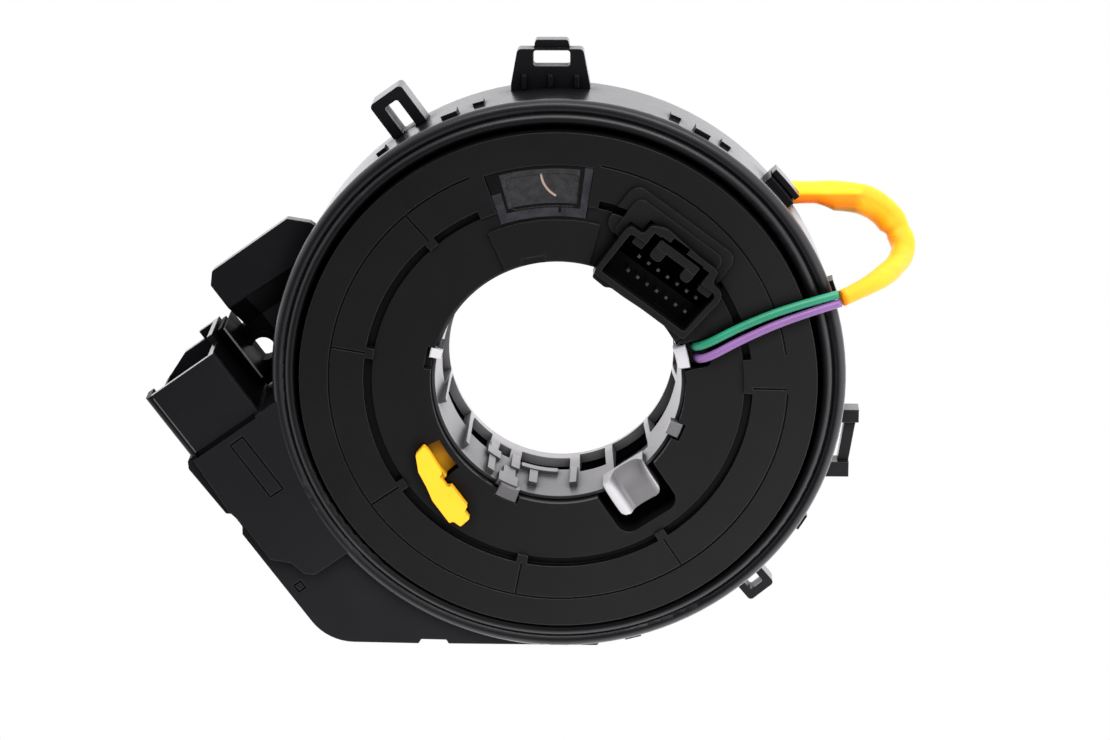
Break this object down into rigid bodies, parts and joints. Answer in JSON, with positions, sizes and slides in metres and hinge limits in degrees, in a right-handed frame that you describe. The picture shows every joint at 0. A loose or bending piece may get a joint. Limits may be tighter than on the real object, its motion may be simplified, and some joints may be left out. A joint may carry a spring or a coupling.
{
  "type": "steering clock spring",
  "caption": "Round steering clock spring: turning rotor with a pin socket and lens, coiled ribbon cable inside, housing with a side harness connector, snap loops and a yellow sleeved lead.",
  "frame": {"origin": "on the rotor's axis, at the back plane of the housing", "axes": "+Z out of the rotor's face towards the steering wheel; +Y towards the top snap loop; +X towards the side where the sleeved lead leaves"},
  "size_m": [0.1655, 0.1322, 0.029],
  "materials": {
    "housing_plastic": "satin moulded black plastic",
    "rotor_plastic": "fine matt moulded black plastic",
    "socket_plastic": "satin black plastic",
    "inner_plastic": "black plastic",
    "hub_plastic": "pale grey moulded plastic, slightly satin",
    "carrier_plastic": "natural acetal",
    "key_plastic": "yellow-orange moulded plastic",
    "pin_metal": "plated",
    "clear_lens": "clear polished plastic",
    "film": "thin smooth film",
    "ribbon": "flat cable film",
    "green_insulation": "satin wire insulation",
    "purple_insulation": "satin wire insulation",
    "yellow_sleeve": "soft yellow sleeve",
    "yellow_plug": "yellow moulded plastic"
  },
  "bodies": {
    "housing": {"housing_shell": "housing_plastic", "base_cover": "housing_plastic", "harness_pins": "pin_metal", "terminal_carrier": "inner_plastic", "lower_slip_sheet": "film", "ribbon_cable": "ribbon", "wire_sleeve": "yellow_sleeve", "squib_plug": "yellow_plug", "plug_lock": "yellow_plug"},
    "rotor": {"rotor_cover": "rotor_plastic", "rotor_drum": "rotor_plastic", "hub_ring": "hub_plastic", "window_lens": "clear_lens", "socket_header": "socket_plastic", "socket_pins": "pin_metal", "upper_slip_sheet": "film", "wire_grommet": "inner_plastic", "green_wire": "green_insulation", "purple_wire": "purple_insulation"},
    "loop_ring": {"loop_carrier": "carrier_plastic"},
    "roller": {"loop_roller": "carrier_plastic"},
    "key": {"lock_key": "key_plastic"}
  },
  "joints": [
    {"name": "rotor_turn", "type": "hinge", "parent": "housing", "child": "rotor", "pos_m": [0, 0, 0.012], "axis": [0, 0, 1], "range_deg": [-900, 900], "deforming": ["ribbon_cable", "green_wire", "purple_wire"]},
    {"name": "loop_ring_turn", "type": "hinge", "parent": "housing", "child": "loop_ring", "pos_m": [0, 0, 0.012], "axis": [0, 0, 1], "range_deg": [-352, 352]},
    {"name": "roller_spin", "type": "hinge", "parent": "loop_ring", "child": "roller", "pos_m": [-0.00787, 0.04048, 0.012], "axis": [0, 0, 1], "continuous": true},
    {"name": "key_pull", "type": "slide", "parent": "rotor", "child": "key", "axis": [0, 0, 1], "range_m": [0, 0.015]}
  ],
  "couplings": [
    {"joint": "loop_ring_turn", "follows": "rotor_turn", "ratio": 0.39}
  ]
}
